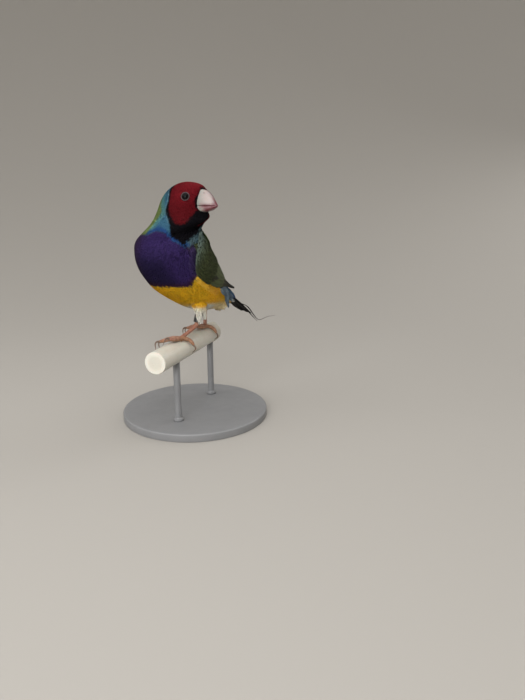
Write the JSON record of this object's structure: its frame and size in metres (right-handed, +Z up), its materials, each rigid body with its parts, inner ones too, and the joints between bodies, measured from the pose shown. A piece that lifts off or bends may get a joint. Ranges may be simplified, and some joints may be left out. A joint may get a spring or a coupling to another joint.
{
  "type": "gouldian finch",
  "caption": "Gouldian finch, life size and still, gripping a cut length of white plastic perch with its head turned over its shoulder, on a plain display stand.",
  "frame": {"origin": "centre of the stand base's underside, below the middle of the perch between the feet", "axes": "+Z up; the bird's trunk heads along -Y and its own left side is +X; the head is turned about 107 degrees to its left"},
  "size_m": [0.076, 0.0985, 0.1192],
  "materials": {
    "red_mask": "soft feathers",
    "nape_green": "soft feathers",
    "wing_green": "smooth feathers",
    "breast_purple": "soft feathers",
    "tail_black": "smooth feathers",
    "thigh_white": "downy feathers",
    "bill_horn": "satin horn",
    "leg_skin": "scaled skin",
    "claw_horn": "horn",
    "eye_dark": "wet gloss",
    "ring_black": "satin",
    "perch_plastic": "worn satin plastic",
    "stand_grey": "satin"
  },
  "bodies": {
    "root": {"head": "red_mask", "neck": "nape_green", "torso": "breast_purple", "tail": "tail_black", "wing_left": "wing_green", "wing_right": "wing_green", "thigh_left": "thigh_white", "thigh_right": "thigh_white", "leg_left": "leg_skin", "leg_right": "leg_skin", "leg_ring": "ring_black", "foot_left": "leg_skin", "foot_right": "leg_skin", "claw_left_inner": "claw_horn", "claw_left_middle": "claw_horn", "claw_left_outer": "claw_horn", "claw_left_hind": "claw_horn", "claw_right_inner": "claw_horn", "claw_right_middle": "claw_horn", "claw_right_outer": "claw_horn", "claw_right_hind": "claw_horn", "bill_upper": "bill_horn", "bill_lower": "bill_horn", "eye_left": "eye_dark", "eye_right": "eye_dark", "perch": "perch_plastic", "stand_base": "stand_grey", "stand_rod_front": "stand_grey", "stand_rod_rear": "stand_grey"}
  },
  "joints": []
}
